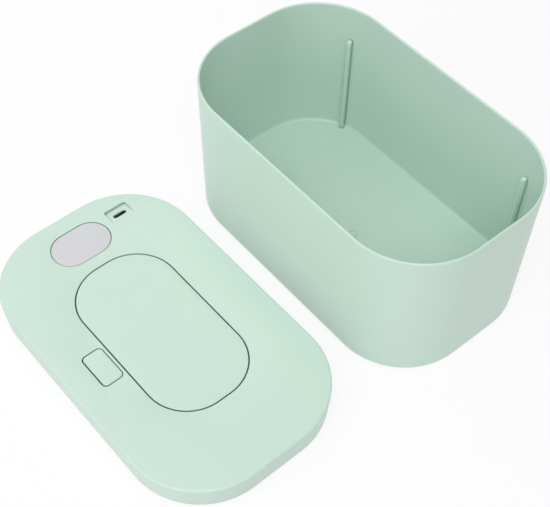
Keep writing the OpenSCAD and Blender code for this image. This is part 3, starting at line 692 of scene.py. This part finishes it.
def buildButton(b):
    bm = bmesh.new()
    p = plan(b["length"] / 2, b["width"] / 2, b["corner"], (0, buttonY), steps=10)
    r, t, top = b["corner"] - b["gap"] / 2, b["topEdge"], lid["top"]
    low = top - b["thick"]
    solidPlan(bm, p, [(r - 0.3, low), (r, low + 0.3)] + corner(r - t, top - t, t, 0, 90, 5))
    for side in (-1, 1):
        x = sorted((side * (b["length"] / 2 - 1.1), side * (b["length"] / 2 + 1)))
        box(bm, x, (buttonY - 2.5, buttonY + 2.5), (skinZ - 1.3, skinZ - 0.1), bevel=0.15)
    back = buttonY + 2.1
    foot, wedgeLow = back - 2.5, lid["ledge"] + 0.6
    prism(bm, (-3.2, 3.2), [(foot, wedgeLow), (back, wedgeLow), (back, low + 0.4),
                            (foot - (low - wedgeLow) - 0.4, low + 0.4)], bevel=0.15)
    return addPiece(bm, "buttonCap", "button", mintPlastic, lidPlace, ("release_button",))


def buildWindow(w):
    bm = bmesh.new()
    r, top = w["width"] / 2 - w["gap"] / 2, lid["top"]
    p = plan(w["width"] / 2, w["length"] / 2, w["width"] / 2, (windowX, 0), steps=24)
    flange = w["width"] / 2 + w["flange"]
    solidPlan(bm, p, [(flange - 0.1, skinZ - 0.8), (flange, skinZ - 0.7), (flange, skinZ), (r, skinZ)]
              + corner(r - w["topEdge"], top - w["topEdge"], w["topEdge"], 0, 90, 5))
    return addPiece(bm, "windowPane", "lid", windowGrey, lidPlace, ("window_lens",))


buildDoor(door)
buildButton(button)
buildWindow(window)
print("door, button and window built")

# ---- springs that the button presses ----

springs = {
    "button": {"radius": 1.15, "wire": 0.22, "low": 8.75, "high": 16.15, "turns": 4, "inset": 2.7, "seat": 8.5,
               "keep": 0.77},
    "latch": {"radius": 1.45, "wire": 0.24, "endGap": 0.28, "turns": 3, "height": 13.15, "keep": 0.67},
}


# A coil of round wire along z. Its end turns lie close together.
def addCoil(bm, c, low, high):
    start = Matrix.Translation((c["radius"], 0, low)) @ Matrix.Rotation(math.pi / 2, 4, "X")
    ring = bmesh.ops.create_circle(bm, segments=8, radius=c["wire"], matrix=start)["verts"]
    geom = ring + list({e for v in ring for e in v.link_edges})
    endRise = c["wire"] * 2.2
    for turns, rise in ((1, endRise), (c["turns"], high - low - 2 * endRise), (1, endRise)):
        steps = 16 * turns
        geom = bmesh.ops.spin(bm, geom=geom, cent=(0, 0, 0), axis=(0, 0, 1), dvec=(0, 0, rise / steps),
                              angle=2 * math.pi * turns, steps=steps, use_merge=False)["geom_last"]
    bmesh.ops.holes_fill(bm, edges=[e for e in bm.edges if e.is_boundary])


def buildSprings(s):
    pair = bmesh.new()
    b = s["button"]
    for side in (-1, 1):
        coil = bmesh.new()
        addCoil(coil, b, b["low"], b["high"])
        addShapes(pair, coil, Matrix.Translation((side * (button["length"] / 2 - b["inset"]), buttonY, 0)))
    made = addPiece(pair, "buttonCoils", "lid", springSteel, lidPlace, ("button_springs",))
    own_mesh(made)
    k = s["latch"]
    coil = bmesh.new()
    addCoil(coil, k, k["endGap"], springLength - k["endGap"])
    stop = lidPlace @ Matrix.Translation((0, springStop, k["height"])) @ Matrix.Rotation(-math.pi / 2, 4, "X")
    made = addPiece(coil, "latchCoil", "lid", springSteel, stop, ("latch_spring",))
    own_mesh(made)


buildSprings(springs)
print("springs wound")

# ---- carried-over parts ----

nodeFinish = {
    "lid_base_cover": coverPlastic, "latch_slider": latchPlastic, "door_gasket": silicone, "lid_seal": silicone,
    "hinge_pin": springSteel, "door_spring": springSteel,
    "heating_plate": plateAluminium, "heating_film": filmAmber, "insulation_pad": foamGrey,
    "temperature_sensor": sensorBlack, "thermal_fuse": fuseBody, "control_board": boardGreen, "board_parts": chipBlack,
    "display_module": displayDark, "touch_spring": springSteel, "usb_c_socket": socketSteel,
    "wire_connector": connectorWhite, "wires": wireRed, "cover_screws": screwSteel, "plate_screws": screwSteel,
    "board_screws": screwSteel,
}
for nodeName, finish in nodeFinish.items():
    nodes[nodeName].data.materials.clear()
    nodes[nodeName].data.materials.append(finish)
print("carried-over parts finished")

# ---- floor, light, world ----

studio = {
    "floorSeen": 0.95, "floorBounce": 0.85, "floorGlow": 0.8, "worldStrength": 0.48,
    "lamps": {
        "highLamp": {"place": (0.567, -0.553, 1.443), "size": 1.0, "power": 10.4},
        "frontLamp": {"place": (0.097, -1.442, 0.83), "size": 1.2, "power": 5.45},
        "endLamp": {"place": (-0.536, -0.06, 0.48), "size": 0.6, "power": 0.77},
    },
}


def addLamp(name, place, size, power, target=(0, -0.06, 0.03)):
    data = bpy.data.lights.new(name, "AREA")
    data.shape, data.size, data.energy = "DISK", size, power
    lamp = bpy.data.objects.new(name, data)
    lamp.location = place
    lamp.rotation_mode = "QUATERNION"
    lamp.rotation_quaternion = (Vector(target) - Vector(place)).to_track_quat("-Z", "Y")
    bpy.context.scene.collection.objects.link(lamp)


def buildStudio(s):
    bm = bmesh.new()
    bmesh.ops.create_grid(bm, x_segments=8, y_segments=8, size=6)
    mesh = bpy.data.meshes.new("floor")
    bm.to_mesh(mesh)
    bm.free()
    floor = bpy.data.objects.new("floor", mesh)
    bpy.context.scene.collection.objects.link(floor)
    material = bpy.data.materials.new("floorPaper")
    material.use_nodes = True
    tree = material.node_tree
    shader = tree.nodes["Principled BSDF"]
    shader.inputs["Roughness"].default_value = 0.9
    shader.inputs["Specular IOR Level"].default_value = 0.1
    glow = put(tree, "Emission", None, Color=(1, 1, 1, 1), Strength=1.0)
    rays = put(tree, "LightPath")
    seen = mathNode(tree, "MAXIMUM", rays.outputs["Is Camera Ray"], rays.outputs["Is Glossy Ray"])
    tone = put(tree, "Mix", {"data_type": "RGBA"})
    tone.inputs["A"].default_value = (*[s["floorBounce"]] * 3, 1)
    tone.inputs["B"].default_value = (*[s["floorSeen"]] * 3, 1)
    tree.links.new(seen, tone.inputs["Factor"])
    tree.links.new(tone.outputs["Result"], shader.inputs["Base Color"])
    share = mathNode(tree, "MULTIPLY", seen, s["floorGlow"])
    mix = put(tree, "MixShader")
    tree.links.new(share, mix.inputs["Fac"])
    tree.links.new(shader.outputs[0], mix.inputs[1])
    tree.links.new(glow.outputs[0], mix.inputs[2])
    tree.links.new(mix.outputs[0], tree.nodes["Material Output"].inputs["Surface"])
    mesh.materials.append(material)

    world = bpy.data.worlds.new("studio")
    bpy.context.scene.world = world
    world.use_nodes = True
    tree = world.node_tree
    light = tree.nodes["Background"]
    light.inputs["Color"].default_value = (1, 1, 1, 1)
    rays = put(tree, "LightPath")
    seen = mathNode(tree, "MAXIMUM", rays.outputs["Is Camera Ray"],
                    mathNode(tree, "MAXIMUM", rays.outputs["Is Glossy Ray"], rays.outputs["Is Transmission Ray"]))
    strength = put(tree, "MapRange")
    strength.inputs["To Min"].default_value = s["worldStrength"]
    strength.inputs["To Max"].default_value = 1.0
    tree.links.new(seen, strength.inputs["Value"])
    tree.links.new(strength.outputs[0], light.inputs["Strength"])
    for name, lamp in s["lamps"].items():
        addLamp(name, lamp["place"], lamp["size"], lamp["power"])
    bpy.context.scene.view_settings.view_transform = "Standard"


buildStudio(studio)
print("studio lit")
